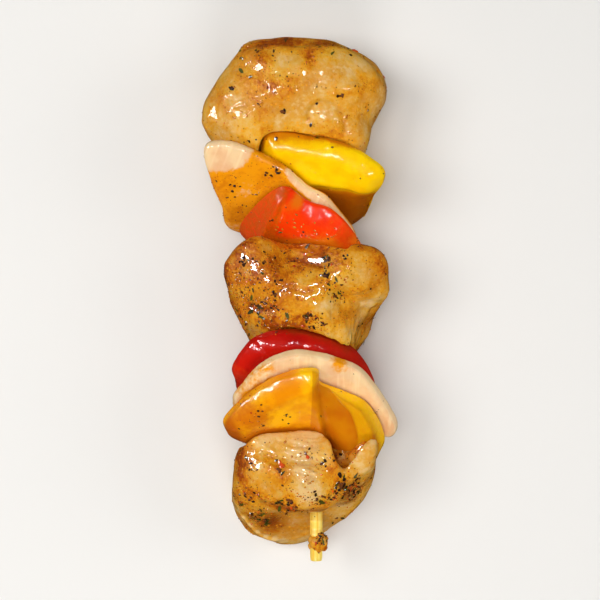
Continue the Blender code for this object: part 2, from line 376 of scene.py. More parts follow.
def shapeStroke(places, path, stroke):  # how far one stroke moves each vertex outward, and its tone
    # tone is painted shade along the stroke: its groove or the ledge's foot is darkened, and a negative tone lightens
    reach = stroke.get("reach", 4.0)
    width = stroke.get("width", 1.0)
    gap, side, taper = nearPath(places, path, reach * 2.2)
    ends = rise(taper, 0, stroke.get("taper", 2.5))
    if stroke["kind"] == "ledge":  # the left side stands up, with a crease at its foot
        high = 1 / (1 + np.exp(-side / stroke.get("sharp", 0.28)))
        lift = stroke["height"] * high * fade(np.maximum(side, 0), reach)
        lift *= fade(np.maximum(gap - abs(side), 0), 2)
        crease = fade(side + width * 0.5, width) * fade(gap, width * 3)
        lift -= stroke.get("foot", 0.35) * stroke["height"] * crease
        return lift * ends, stroke.get("tone", 0.0) * crease * ends
    near = fade(gap, width) * ends
    return stroke["height"] * near, stroke.get("tone", 0.0) * near


solids = {  # each as a tree with its low and high corner, in millimetres
    nodeName: (treeOf(node.data, 1000), *(np.array(corner) * 1000 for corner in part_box(nodeName)))
    for nodeName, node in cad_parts.items()
}


def gapToOthers(places, own, reach=6.0, among=""):  # how far each vertex is from the other solids
    best = np.full(len(places), reach)
    for name, (tree, low, high) in solids.items():
        if name == own or among not in name:
            continue
        close = np.flatnonzero(((places > low - reach) & (places < high + reach)).all(1))
        for index in close:
            found = tree.find_nearest(Vector(places[index]), best[index])
            if found[0] is not None:
                best[index] = found[3]
    return best


def addPiece(name, mesh, finish, slot, *nodes):
    made = inScene(name, mesh)
    mesh.materials.clear()
    mesh.materials.append(finish)
    mesh.shade_smooth()
    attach(made, "root")
    if nodes:
        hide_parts(*nodes)


surfaces = {}  # what the flecks are strewn on: places, normals, how thickly and how wet
stickFacts = {"x": 4.8, "z": 17.0, "radius": 1.8, "sides": 28, "start": -76.0, "end": 71.0, "taper": 14.0}


def keepSurface(name, mesh, places, dirt, wet):  # then the mesh goes from millimetres to metres
    surfaces[name] = {"places": places, "normals": normalsOf(mesh), "dirt": dirt, "wet": wet}
    mesh.transform(Matrix.Scale(mm, 4))


def spots(places, listed):  # soft round marks, each a place, a reach and an amount
    total = np.zeros(len(places))
    for x, y, reach, amount in listed:
        total += amount * fade(np.hypot(places[:, 0] - x, places[:, 1] - y), reach)
    return total


# Chicken: three chunks of thigh and breast in an oily marinade.

chickenShape = {"cell": 0.42, "rounds": 48, "broadRelief": 0.3, "middleRelief": 0.12, "fineRelief": 0.02}
chickenLook = {
    "pale": (224, 186, 124),
    "peach": (214, 164, 88),
    "pink": (196, 138, 78),
    "shadow": (120, 52, 8),
    "paprika": (184, 70, 8),
    "spice": (84, 42, 12),
    "oil": (236, 160, 26),
    "filters": [  # what the marinade lets through, from bare meat to a thick pool
        (0.0, (1.0, 1.0, 1.0)), (0.3, (1.0, 0.89, 0.46)), (0.55, (1.0, 0.75, 0.1)),
        (0.8, (0.86, 0.46, 0.035)), (1.0, (0.5, 0.16, 0.01)),
    ],
}


def chickenFinish(name, seed, fibreTurn, gloss=1.0, ripple=0.85):
    look = Finish(
        name, Subsurface_Weight=0.3, Subsurface_Radius=(1.0, 0.45, 0.15), Subsurface_Scale=0.0026,
        Coat_Weight=gloss, Coat_Roughness=0.035, Coat_IOR=1.55, Specular_IOR_Level=0.12,
    )
    marinade, crease, wet = (look.painted(layer) for layer in ("marinade", "crease", "wet"))
    middle = look.cloud(3.2, seed + 2, 4)
    fine = look.cloud(0.9, seed + 4)
    film = look.cloud(1.7, seed + 5, 2, 0.5)
    pool = look.cloud(4.3, seed + 7, 1, 0.4)
    fibre = look.cloud(1.5, seed + 6, 4, 0.6, (1, 0.16, 1), fibreTurn)
    meat = look.ramp(look.cloud(11, seed), [
        (0.3, chickenLook["pink"]), (0.48, chickenLook["peach"]), (0.68, chickenLook["pale"]),
    ])
    meat = look.mix(look.spread(fibre, 0.52, 0.7, 0, 0.4), meat, chickenLook["pale"])
    thick = look.waver(marinade, middle, 0.75)
    thick = look.waver(look.waver(thick, film, 0.5), fine, 0.7, clamp=True)
    meat = look.mix(look.spread(thick, 0, 0.3, 0.8, 0), meat, chickenLook["pale"])
    filters = look.ramp(thick, chickenLook["filters"], lambda *shares: shares)
    colour = look.mix(1.0, meat, filters, "MULTIPLY")
    # painted shade: the meat goes towards the shadow colour where the painted shade layer is high
    colour = look.mix(look.spread(crease, 0.1, 1), colour, chickenLook["shadow"])
    oily = look.times(look.speckle(1.2, 0.4, seed + 12, 0.36), look.spread(thick, 0.2, 0.45))
    colour = look.mix(look.times(oily, 0.55), colour, chickenLook["oil"])
    dusty = look.spread(thick, 0.25, 0.7)
    paprika = look.times(look.speckle(0.7, 0.24, seed), dusty)
    colour = look.mix(look.times(paprika, 0.85), colour, chickenLook["paprika"])
    spice = look.times(look.speckle(0.9, 0.16, seed + 9, 0.26), dusty)
    look.plug("Base Color", look.mix(look.times(spice, 0.85), colour, chickenLook["spice"]))
    look.plug("Roughness", look.spread(fine, 0.3, 0.7, 0.28, 0.45))
    rough = look.bump(middle, 0.3, look.bump(fibre, 0.16))
    rough = look.bump(look.times(fine, look.spread(marinade, 0.2, 0.8, 0.25, 1)), 0.35, rough)
    look.plug("Normal", look.bump(look.calc("ADD", paprika, spice), 0.12, rough))
    sheen = look.times(film, look.spread(wet, 0.2, 1, 0.2, 1))
    look.plug("Coat Normal", look.bump(sheen, 0.15, look.bump(pool, ripple)))
    return look.material


chunks = {
    "chicken_top": {
        "seed": 1, "fibreTurn": (0.2, 0.1, 0.9), "coating": 0.3, "patchy": 0.3, "glazeRelief": 0.1,
        "gloss": 0.4, "ripple": 0.95,
        "core": (36, 73),
        "mounds": [(7.4, 51, 3, 1.1), (-19, 50, 5, 0.6), (9.5, 47.5, 2.5, 0.5)],
        "threads": [(-17, 54, 6, 0.25, 15), (8, 61, 6, 0.2, -35)],
        "strokes": [
            line(-0.6, width=0.9, tone=0.22,
                 path=[(2.9, 48.9), (2.4, 53.1), (6, 56), (10.8, 54.2), (12.6, 48.9), (11.6, 45.8)]),
            ledge(0.6, reach=5, sharp=0.6, path=[(12.6, 50), (13.8, 54), (17, 57), (19, 61)]),
            line(-0.5, width=1.4, path=[(1.5, 71), (2.9, 67.9), (4.2, 64)]),
            ledge(-0.9, reach=3, foot=-0.3, tone=-0.3,
                  path=[(-17, 71.5), (-8, 73), (-2, 72.5), (5, 72.9), (13, 73), (19, 69.5), (24, 64)]),
            line(-0.25, width=2.4, path=[(-12, 66), (-9, 58), (-12, 51)]),
        ],
        "stains": [
            (-10, 61, 4.5, 0.25), (-5, 59, 5, 0.28), (-10, 53, 3.5, 0.3), (2.9, 67.9, 2.6, 0.3),
            (11, 57, 3.5, 0.3), (19, 62, 3, 0.3), (9.7, 47.3, 3, 0.4), (6, 51, 3, -0.1),
            (-12, 71, 5, 0.35), (-2, 74.5, 5, 0.5), (8, 75, 6, 0.45), (-22, 54, 6, 0.06), (-14, 66, 5, 0.2),
            (6, 62, 4, -0.12), (12, 66, 6, -0.06), (-6, 45, 6, 0.1),
        ],
        # painted shade at the top and left edges
        "shadeSpots": [(-3, 76, 3.5, 0.5), (8, 76, 5, 0.5), (-26, 61, 2, 0.3), (-23, 67, 2, 0.4)],
        "wet": [(-2.4, 56.3, 2.5, 1), (12, 54, 3, 1), (8, 63, 2, 1), (-21, 55, 3, 0.8), (-16, 52, 3, 0.9),
                (-15, 66, 2, 0.8), (7, 49, 4, 0.8), (15, 51, 3, 0.6)],
        "dirty": [(-19.7, 60, 1.6, 0.3), (-12, 55, 1.5, 0.2), (13, 58, 2.5, 0.3), (-8, 74, 5, 0.4)],
    },
    "chicken_middle": {
        "seed": 4, "fibreTurn": (0.1, 0.3, -0.5), "coating": 0.68, "patchy": 0.4, "glazeRelief": 0.1,
        "gloss": 1, "ripple": 0.6,
        "core": (-14, 14),
        "threads": [(17, 0.5, 5, 0.5, -6), (14, -9, 6, 0.45, 62), (15, 8, 4, 0.3, -35)],
        "mounds": [(-4.5, -6.8, 3.4, 0.6), (-11, 6, 5, 0.8), (14.4, -10.5, 3.5, 0.6), (2.9, -9.5, 2.5, 0.5)],
        "strokes": [
            ledge(0.6, reach=5, tone=0.22, sharp=0.5,
                  path=[(10.8, 12.5), (9.6, 7.4), (11.3, 4.2), (15, 2.1), (19.2, 0.5), (26, 0)]),
            ledge(0.7, reach=3.5, tone=0.2, path=[(12, -2.8), (17, -2.2), (23.9, -1.8)]),
            ledge(0.55, reach=5, tone=0.2, sharp=0.6,
                  path=[(-0.3, 0.5), (6, -1.6), (9.2, -5.8), (9.7, -12.1), (11, -16)][::-1]),
            line(0.5, width=1.1, tone=-0.3, path=[(-4.5, 15.2), (0, 13.8), (4, 12.4), (8, 12)]),
            line(-0.5, width=1.1, tone=0.25, path=[(-5, 12.6), (0, 11), (5, 9.6), (8, 9)]),
            line(-0.6, width=1.2, path=[(-8, 1.5), (-3, 3.5), (2, 2.5), (6, 4)]),
            line(-0.7, width=1.3, tone=0.2, path=[(-16, -1), (-10, -3), (-6, -1.5)]),
        ],
        "stains": [
            (16, 6, 5, -0.16), (14, -9, 6, -0.5), (-14, -9, 4.5, -0.35), (-18, -2, 4, 0.2), (19, -1, 4, -0.4),
            (7, -2, 3.5, -0.3), (-6, 4, 5, 0.1), (-3, -7, 4, 0.4), (-14, 14, 5, 0.1), (0.5, 6, 4, -0.08),
            (0, 11.6, 3, 0.28), (-13, 6, 4, 0.12),
            (12, 6, 3, -0.3),
        ],
        # painted shade on the left flank, along the bottom and in small hollows
        "shadeSpots": [(-19, 0, 3, 0.3), (-19, -7, 3, 0.3), (0, -9, 4, 0.2), (-7, -8, 4, 0.25), (-2, -3, 3, 0.1),
                 (-8, 3.5, 2.5, 0.15), (4, 9, 2.5, 0.2), (-13, -3, 3, 0.15)],
        "wet": [(-10, 9.5, 5, 1), (-13, 4.5, 5, 1), (-6, 5, 3, 1), (-3, -1.5, 3, 1), (14, 5, 4, 0.7),
                (10, 10, 3, 0.8), (20, 9, 3, 0.6), (-6, -7, 4, 0.6)],
        "dirty": [(3, 9, 4, 0.5), (8, 7, 2.5, 1.5), (8, 3.5, 2, 0.8), (-4, -2, 4, 0.7), (2.5, -5, 2.2, 1.5),
                  (-6, 9, 5, 0.5), (11, 2, 3, 0.6), (-10, -3, 4, 0.9), (6, -8, 3, 0.8), (-15, 10, 4, 0.8),
                  (-12, 5, 6, 0.7), (-15, -2, 5, 0.7), (-6, -5, 5, 0.8)],
    },
    "chicken_bottom": {
        "seed": 7, "fibreTurn": (0.4, 0.1, 0.3), "coating": 0.36, "patchy": 0.45, "glazeRelief": 0.2,
        "gloss": 0.75, "ripple": 0.85, "rough": 1.5,
        "core": (-56, -42),
        "mounds": [(-0.3, -40.5, 5.5, 1.3), (2.9, -52, 3.8, 1.3), (-12, -50, 4, 0.5), (20.3, -47.5, 3.2, 0.9)],
        "threads": [(0, -41.5, 5.5, 0.8, -8), (2, -47, 4.5, 0.6, -14), (-10, -44, 4, 0.4, -20),
                    (2.9, -52, 3, 0.45, 30), (-3, -66, 8, 0.3, 35), (20, -45, 3, 0.25, 80)],
        "strokes": [
            line(-0.4, width=1.4, tone=0.15,
                 path=[(-18.1, -41), (-8.7, -44.1), (-4.5, -47), (2.9, -46.6), (9.7, -45.5)]),
            ledge(0.6, reach=3.5, foot=0.5, tone=0.35, sharp=0.6,
                  path=[(-13, -57), (-7, -58), (-1.3, -59.6), (6, -59.6), (13.4, -59), (18, -56)]),
            line(1.1, width=2.6, reach=6, taper=7,
                 path=[(21.6, -38.5), (20.8, -41.5), (19.6, -44.6), (17.4, -48), (13.5, -51), (9, -52)]),
            line(-0.5, width=1.3, path=[(-12, -48), (-9, -53), (-4, -56)]),
            # a thin ridge on the lower lobe's edge; its negative tone makes the line paler, a painted highlight
            line(0.5, width=0.8, tone=-0.5,
                 path=[(-18, -61.5), (-14.5, -66.2), (-10.5, -69.6), (-5.5, -71.4)]),
            ledge(0.6, reach=2.5, foot=0.4, tone=0.15, sharp=0.4,
                  path=[(-7, -43.2), (-3, -44.6), (2, -44.2), (6.5, -45.4)]),
            ledge(0.5, reach=2.2, foot=0.4, tone=0.15, sharp=0.4,
                  path=[(-5, -47.6), (-1, -49.4), (1, -51.8), (1.4, -54)]),
        ],
        "stains": [
            (-0.3, -40.5, 6, -0.65), (2.9, -52, 4, -0.6), (-16, -46, 5, 0.48), (-12, -50, 4, -0.1),
            (14, -46, 4, -0.1), (21, -43, 4, -0.1), (8, -48, 4, 0.25), (12, -52, 5, 0.35),
            (-7, -46, 3, 0.25), (-14, -56, 5, 0.25), (-4, -57, 4, 0.25), (0, -66, 6, 0.08), (12, -62, 5, -0.1),
            # from (-18, -61.5) on, small spots make the same edge line paler: a painted highlight
            (-13, -62, 5, 0.15), (-18, -61.5, 1, -0.6), (-16.4, -63.8, 1, -0.6), (-14.5, -66, 1, -0.6),
            (-12.4, -68, 1, -0.6), (-10, -69.6, 1, -0.6), (-7.4, -70.6, 1, -0.6), (-4.6, -71.4, 1, -0.6),
        ],
        # painted shade around the spice clusters, at the left and on the lower lobe; the negative spot lightens the
        # pocket beside the golden slice
        "shadeSpots": [(14, -57.5, 3, 0.4), (13.5, -53.5, 3.4, 0.5), (-20, -56, 3, 0.4), (-8, -64, 3, 0.35),
                 (-13, -64, 7, 0.44), (-2, -67, 8, 0.44), (9, -65, 7, 0.42), (14.5, -46.5, 3, -0.4)],
        "wet": [(2.9, -52, 4, 1), (-3, -42, 4, 0.6), (0, -45, 3, 0.7), (-15, -43, 3, 0.5), (20, -45, 3, 0.5),
                (-9, -52, 4, 0.5)],
        "dirty": [(13, -53, 3.5, 2.2), (16, -55, 2.5, 1.5), (-13, -56.5, 5, 1.1), (-3, -58, 4, 1.4), (3, -57, 3, 1.2),
                  (-11, -64, 3, 1.4), (4, -47, 5, 0.4), (-14, -48, 3, 0.4), (8, -46, 2, 0.9), (9, -56, 3, 1)],
        "shelf": {"from": -60.5, "to": -62, "level": 14.4, "reach": 3.2, "side": 0.55},
    },
}


def fillCore(bm, start, end):  # closes the bore inside a chunk, so that the meat stays one lump
    turn = Matrix.Rotation(math.radians(90), 4, "X")
    shift = Matrix.Translation((stickFacts["x"], (start + end) / 2, stickFacts["z"]))
    bmesh.ops.create_cone(
        bm, cap_ends=True, segments=16, radius1=stickFacts["radius"] + 0.8, radius2=stickFacts["radius"] + 0.8,
        depth=end - start, matrix=shift @ turn,
    )


def makeChunk(name, facts):
    bm = bmesh.new()
    bm.from_mesh(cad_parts[name].data)
    bmesh.ops.remove_doubles(bm, verts=bm.verts, dist=1e-6)
    bmesh.ops.scale(bm, vec=(1000, 1000, 1000), verts=bm.verts)
    fillCore(bm, *facts["core"])
    mesh = evenMesh(bm, name + "_meat", chickenShape["cell"], chickenShape["rounds"])
    places, normals = placesOf(mesh), normalsOf(mesh)
    if "shelf" in facts:  # the lobe under the bare stretch of stick
        shelf = facts["shelf"]
        aside = np.maximum(abs(places[:, 0] - stickFacts["x"]) - shelf["reach"], 0)
        top = shelf["level"] + shelf["side"] * aside
        share = 1 - rise(places[:, 1], shelf["to"], shelf["from"])
        places[:, 2] -= np.maximum(places[:, 2] - top, 0) * share
        setPlaces(mesh, places)
        soften(mesh, 3)
        places, normals = placesOf(mesh), normalsOf(mesh)
    gap = gapToOthers(places, name)
    room = rise(gap, 0.2, 2.2)  # less relief where another piece presses on it
    tree = treeOf(mesh)
    lift, tone = np.zeros(len(places)), np.zeros(len(places))
    for stroke in facts["strokes"]:
        laid = []
        for x, y in smoothPath(stroke["path"]):
            found = tree.ray_cast(Vector((x, y, 80)), Vector((0, 0, -1)))
            if found[0] is not None:
                laid.append(found[0])
        moves, tones = shapeStroke(places, np.array(laid), stroke)
        lift += moves
        tone += tones
    lift += spots(places, facts["mounds"]) * rise(normals[:, 2], 0, 0.5)
    places += normals * (lift * room)[:, None]
    setPlaces(mesh, places)
    soften(mesh, 1)
    places, normals = placesOf(mesh), normalsOf(mesh)

    seed = facts["seed"]
    seen = rise(np.clip(normals[:, 2], 0, 1), 0, 0.5)
    marinade = facts["coating"] + facts["patchy"] * lumps(places, 7.5, seed + 1, 3)
    marinade += spots(places, facts["stains"]) * seen
    # more marinade near other pieces and low down: partly marinade that gathers there, partly painted shade
    marinade += 0.2 * fade(gap, 1.2) + 0.25 * (1 - rise(places[:, 2], 0, 9))
    sunk = np.clip(-lift, 0, 1.2) / 1.2
    marinade = np.clip(marinade + 0.35 * sunk, 0, 1)
    # painted shade: darker in grooves, along the strokes, where other pieces press, in the lowest 5 mm and at the
    # listed shade spots
    crease = 0.4 * sunk + tone + 0.2 * fade(gap, 0.8) + 0.3 * (1 - rise(places[:, 2], 0, 5))
    crease = np.clip(crease + spots(places, facts["shadeSpots"]) * seen, 0, 1)
    wet = np.clip(0.15 + 0.4 * marinade + spots(places, facts["wet"]) * seen, 0, 1)

    relief = chickenShape["broadRelief"] * lumps(places, 9.0, seed + 2, 2)
    relief += chickenShape["middleRelief"] * lumps(places, 4.2, seed + 3, 2)
    relief += chickenShape["fineRelief"] * lumps(places, 1.6, seed + 4, 1)
    relief *= facts.get("rough", 1.0)
    for x, y, reach, height, lean in facts.get("threads", ()):  # muscle fibres lying across
        cos, sin = math.cos(math.radians(lean)), math.sin(math.radians(lean))
        turned = places @ np.array(((cos, -sin, 0), (sin, cos, 0), (0, 0, 1)))
        near = fade(np.hypot(places[:, 0] - x, places[:, 1] - y), reach)
        relief += height * lumps(turned, 1.0, seed + 6, 2, (0.14, 0.6, 0.6)) * near
    blobs = lumps(places, 3.2, seed + 5, 1)
    relief += facts["glazeRelief"] * rise(marinade, 0.35, 0.8) * np.maximum(blobs, -0.15) * 1.6
    places += normals * (relief * (0.25 + 0.75 * room))[:, None]
    places[:, 2] = np.maximum(places[:, 2], 0.0)
    setPlaces(mesh, places)

    patches = np.clip(lumps(places, 5, seed + 8, 2) + 0.2, 0, 1)
    dirt = 0.12 + 0.9 * rise(marinade, 0.3, 0.9) * (0.3 + 1.2 * patches)
    dirt += 4 * spots(places, facts["dirty"]) * seen
    paint(mesh, marinade=marinade, crease=crease, wet=wet)
    keepSurface(name, mesh, places, dirt * rise(gap, 0.3, 0.9), wet)
    finish = chickenFinish(name + "Meat", seed, facts["fibreTurn"], facts["gloss"], facts["ripple"])
    addPiece(name + "_meat", mesh, finish, "meat", name)
    print(name, len(mesh.polygons), "faces")


for chunkName, chunkFacts in chunks.items():
    makeChunk(chunkName, chunkFacts)


# Slices: pepper walls and onion petals, each bent along one of three sheets.

sliceShape = {"cell": 0.4, "pepperWall": 6.2, "onionWall": 3.4, "lean": 34.0, "curl": 0.8}
nestStep = sliceShape["pepperWall"] / 2 + sliceShape["onionWall"] / 2 + 0.4
sheets = {
    "yellow": {"y": 31.3, "yaw": -14, "twist": -0.3, "bow": 0.014, "curl": 1.0},
    "upper": {"y": 20.8, "yaw": -24, "twist": -0.35, "bow": 0.02},
    "lower": {"y": -31.4, "yaw": -2, "twist": 0.1, "bow": 0.024},
}


def sheetPlace(sheet, s, h):
    yaw = math.radians(sheet["yaw"])
    start = np.radians(sliceShape["lean"] + sheet["twist"] * s)
    rate = math.radians(sheet.get("curl", sliceShape["curl"]))
    tip = start + rate * h
    out = (np.cos(start) - np.cos(tip)) / rate - sheet["bow"] * s * s / 2
    up = (np.sin(tip) - np.sin(start)) / rate
    return np.stack((
        stickFacts["x"] + math.cos(yaw) * s - math.sin(yaw) * out,
        sheet["y"] + math.sin(yaw) * s + math.cos(yaw) * out,
        stickFacts["z"] + up,
    ), 1)


def bend(sheet, flat):  # from the flat slice (across, up, through) to its place on the stick
    s, h = flat[:, 0], flat[:, 1]
    right = sheetPlace(sheet, s + 0.05, h) - sheetPlace(sheet, s - 0.05, h)
    up = sheetPlace(sheet, s, h + 0.05) - sheetPlace(sheet, s, h - 0.05)
    normal = np.cross(up, right)
    normal /= np.linalg.norm(normal, axis=1)[:, None]
    return sheetPlace(sheet, s, h) + normal * flat[:, 2:3]


def beside(side, amount, path, **facts):  # marks what lies left (1) or right (-1) of a path
    return {"side": side, "amount": amount, "path": path, **facts}


goldenFold = [(1.5, 16), (8, 11.5), (11.4, 9), (14.8, 3.4), (15.5, -6)]  # where the golden slice's cut face turns away
slices = {
    "yellow_pepper": {
        "sheet": "yellow", "look": "yellow", "seed": 11, "rounds": 24, "roll": (5, 0.7),
        "outline": [(-15, -12), (-1, -15), (11, -15), (15, -8), (16, 6), (17.5, 13), (15.5, 18),
                    (4, 19.5), (-6, 18.5), (-13, 19), (-18, 17.5), (-17.5, 7)],
        "hollows": [(13, 0, 8, 2.4)],
        "stains": [(-14, 18.5, 4, 0.4), (-7, 18.5, 2.5, 0.3), (3, 19.5, 3, 0.3), (12, 18, 3, 0.2), (-17, 9, 4, 0.25)],
        "strokes": [ledge(0.8, reach=4, foot=0.6, sharp=0.5,
                          path=[(-6, 3.5), (0, 6.2), (5, 7), (10, 8.5), (17, 9)])],
        "shades": [beside(-1, 0.95, [(-6, 3), (0, 5.6), (5, 6.4), (10, 7.8), (17, 8.2)], soft=1.1)],
    },
    "onion_upper": {
        "sheet": "upper", "seed": 12, "rounds": 14, "roll": (2, 0.3),
        "outline": [(-23, -7), (-28, 4), (-33, 14), (-38, 26), (-33, 27), (-23, 22.5), (-14, 18.5),
                    (-7, 14.5), (-1, 13.5), (5, 10), (11, 6), (13, -3), (7, -12), (-8, -12)],
        "stained": 0.95,
        "stains": [(-24, 10, 4, -0.45), (-12, 3, 5, -0.3), (-16, 15, 4, 0.25), (-28, 12, 3, 0.2),
                   (-22, 19, 4, -0.25)],
        "pales": [beside(1, 0.94,
                         [(-40, 18.2), (-33, 17.6), (-28, 18), (-25.6, 20.5), (-24.4, 26)], soft=2),
                  beside(1, 0.9,
                         [(-17, 23), (-13.4, 16.6), (-7, 12.6), (-1, 10.8), (4, 7.6), (9, 3.6), (10.6, -3)], soft=0.9)],
    },
    "red_pepper_upper": {
        "sheet": "upper", "look": "red", "offset": -nestStep, "slant": 6.5, "seed": 13, "rounds": 30,
        "roll": (7, 0.8), "rollFrom": (-17, -12),
        "outline": [(-22, -5), (-19.5, 7), (-14, 14.5), (-5, 12), (1, 13), (6, 12.5), (11, 10.5),
                    (15, 7.5), (15, -4), (9, -13), (-3, -15), (-14, -13)],
        "stained": 0.1,
        # the spot at (-8.5, 13) darkens the recess at the top edge in the stain colour: painted shade
        "stains": [(4, 0, 6, 0.3), (-10, -2, 6, 0.3), (12, 4, 4, 0.3), (-8.5, 13, 2.2, 0.9), (-13, 9, 4, 0.2)],
        "facets": [beside(1, 1, [(-13.5, -8), (-13.3, 2.8), (-13.8, 9), (-13.5, 16)], soft=1.1)],
    },
    "red_pepper_lower": {
        "sheet": "lower", "look": "darkRed", "offset": nestStep + 1, "seed": 14, "rounds": 30,
        "roll": (5, 0.6),
        "strokes": [line(-0.6, width=0.8, path=[(-12, 22), (-15.6, 26.5), (-17, 30)])],
        "outline": [(-19, -4), (-20.5, 11), (-21.5, 18.5), (-18, 25), (-15, 27), (-8, 27), (0, 24.5),
                    (9, 20), (13.5, 12), (15, 0), (11, -13), (-2, -15), (-14, -13)],
        "facets": [beside(-1, 0.2, [(-24, 21), (-19, 19), (-17, 12)])],
    },
    "onion_lower": {
        "sheet": "lower", "seed": 15, "rounds": 14, "roll": (1.6, 0.2),
        "outline": [(-22, 3), (-23.5, 13.5), (-21, 18), (-16.5, 23), (-8, 25), (-1, 23.5), (6, 22),
                    (12, 20), (18.5, 12.5), (23, 5), (23, -1), (19, -5), (8, -11), (-6, -12),
                    (-17, -7)],
        "stained": -0.05,
        "stains": [(6, 21, 3, 0.75), (-20, 17, 10, 0.5), (-12, 24, 6, 0.1), (16, 10, 9, -0.3)],
    },
    "golden_pepper": {
        "sheet": "lower", "look": "golden", "offset": -nestStep, "seed": 16, "rounds": 14,
        "roll": (5, 0.6), "rollFrom": (9, 2),
        "hollows": [(8, 12, 6, 2), (12.5, -4, 8, -4.6)],
        # the stain at the left end darkens it: painted shade, in the stain colour
        "stains": [(-21, 14, 8, 0.78)],
        "strokes": [
            ledge(1.1, reach=3, foot=0.5, sharp=0.22,
                  path=[(-0.6, 19), (-0.2, 15.5), (0.6, 11.9), (2.8, 2.2), (5.6, -5.5)][::-1]),
            ledge(0.7, reach=3, foot=0.3, path=goldenFold),
        ],
        "shades": [
            beside(1, 0.22,
                   [(-0.6, 19), (-0.2, 15.5), (0.6, 11.9), (2.8, 2.2), (5.6, -8)], until=goldenFold),
            beside(1, 1, [(-22, 2), (-25, 12), (-26, 17)], soft=1.2),
        ],
        "facets": [beside(1, 1, goldenFold)],
        "outline": [(-24, 0), (-28, 11.5), (-24, 16), (-18, 18.5), (-9, 20.7), (-0.3, 20.6), (1, 15.5),
                    (9, 13), (15, 11), (20, 4), (21, -6), (13, -13), (-1, -15), (-15, -12)],
    },
}

pepperLook = {
    "yellow": {"slot": "pepper_yellow", "skin": (252, 208, 4), "deep": (244, 184, 2), "cut": (250, 206, 20),
               "stain": (214, 128, 6), "shade": (168, 82, 4), "ripple": 0.12},
    "golden": {"slot": "pepper_golden", "skin": (252, 182, 6), "deep": (230, 138, 4), "cut": (252, 196, 4),
               "stain": (206, 112, 8), "shade": (176, 84, 6), "ripple": 0.16},
    "red": {"slot": "pepper_red", "skin": (240, 56, 4), "deep": (224, 38, 4), "cut": (206, 82, 4),
            "stain": (222, 108, 10), "shade": (150, 20, 8), "ripple": 0.14},
    "darkRed": {"slot": "pepper_red", "skin": (198, 24, 10), "deep": (176, 14, 8), "cut": (228, 84, 16),
                "stain": (150, 40, 8), "shade": (110, 10, 8), "ripple": 0.14},
}
onionLook = {
    "flesh": (236, 202, 154), "milky": (248, 222, 174), "pink": (230, 180, 134),
    "stain": (232, 150, 10), "deep": (206, 112, 6),
}


def pepperFinish(name, colours, seed):
    look = Finish(
        name, Subsurface_Weight=0.12, Subsurface_Radius=(1.0, 0.5, 0.05), Subsurface_Scale=0.002,
        Coat_Weight=0.7, Coat_Roughness=0.05, Specular_IOR_Level=0.08,
    )
    stain, shade, facet = (look.painted(layer) for layer in ("stain", "shade", "facet"))
    broad = look.cloud(9, seed)
    fine = look.cloud(1.1, seed + 1)
    cells = look.cloud(0.45, seed + 2, 2)
    film = look.cloud(1.6, seed + 3, 2)
    pool = look.cloud(4.2, seed + 5, 1, 0.4)
    skin = look.mix(look.spread(broad, 0.35, 0.65), colours["deep"], colours["skin"])
    cut = look.mix(look.spread(fine, 0.35, 0.7, 0, 0.6), colours["cut"], colours["skin"])
    colour = look.mix(facet, skin, cut)  # cut flesh, without the skin's smooth shine
    colour = look.mix(shade, colour, colours["shade"])
    dirty = look.waver(stain, fine, 0.6)
    colour = look.mix(look.spread(dirty, 0.15, 0.9), colour, colours["stain"])
    freckle = look.times(look.speckle(0.8, 0.12, seed), look.spread(dirty, 0, 0.6, 0.15, 1))
    look.plug("Base Color", look.mix(look.times(freckle, 0.7), colour, colours["stain"]))
    look.plug("Roughness", look.spread(facet, 0.2, 0.7, 0.3, 0.42))
    rough = look.bump(fine, 0.06, look.bump(broad, 0.25))
    grain = look.times(cells, look.spread(facet, 0.2, 0.8, 0.15, 1))
    look.plug("Normal", look.bump(grain, 0.16, rough))
    look.plug("Coat Normal", look.bump(film, colours["ripple"], look.bump(pool, 0.6)))
    return look.material


def onionFinish(name, seed):
    look = Finish(
        name, Subsurface_Weight=0.25, Subsurface_Radius=(1.0, 0.6, 0.25), Subsurface_Scale=0.0022,
        Coat_Weight=0.7, Coat_Roughness=0.05, Specular_IOR_Level=0.1,
    )
    stain, rim = look.painted("stain"), look.painted("rim")
    broad = look.cloud(8, seed)
    fine = look.cloud(1.3, seed + 1)
    film = look.cloud(1.8, seed + 4, 2)
    pool = look.cloud(4.0, seed + 5, 1, 0.4)
    veins = look.cloud(1.4, seed + 3, 3, 0.55, (1, 0.06, 0.4), place=look.painted("flat", "Vector"))
    colour = look.mix(look.spread(broad, 0.35, 0.62), onionLook["pink"], onionLook["flesh"])
    colour = look.mix(look.spread(veins, 0.5, 0.68, 0, 0.5), colour, onionLook["milky"])
    colour = look.mix(look.spread(rim, 0.35, 0.7, 0, 0.5), colour, onionLook["milky"])
    dirty = look.waver(stain, fine, 0.8)
    colour = look.mix(look.spread(dirty, 0.2, 0.6), colour, onionLook["stain"])
    colour = look.mix(look.spread(dirty, 0.75, 1.2, 0, 0.8), colour, onionLook["deep"])
    freckle = look.times(look.speckle(0.8, 0.3, seed), look.spread(dirty, 0.3, 0.8))
    look.plug("Base Color", look.mix(look.times(freckle, 0.7), colour, chickenLook["paprika"]))
    look.plug("Roughness", look.spread(fine, 0.3, 0.7, 0.28, 0.42))
    look.plug("Normal", look.bump(fine, 0.06, look.bump(veins, 0.14)))
    look.plug("Coat Normal", look.bump(film, 0.14, look.bump(pool, 0.5)))
    return look.material


def sideMask(flat, marks):  # how far each vertex is on the wanted side of a path
    def sideOf(path):
        return nearPath(flat[:, :2], smoothPath(path), 20.0)[1]

    total = np.zeros(len(flat))
    for mark in marks:
        soft = mark.get("soft", 0.35)
        share = rise(sideOf(mark["path"]) * mark["side"], -soft, soft)
        if "until" in mark:
            share *= rise(-sideOf(mark["until"]) * mark["side"], -0.6, 0.6)
        total += mark["amount"] * share
    return np.clip(total, 0, 1)


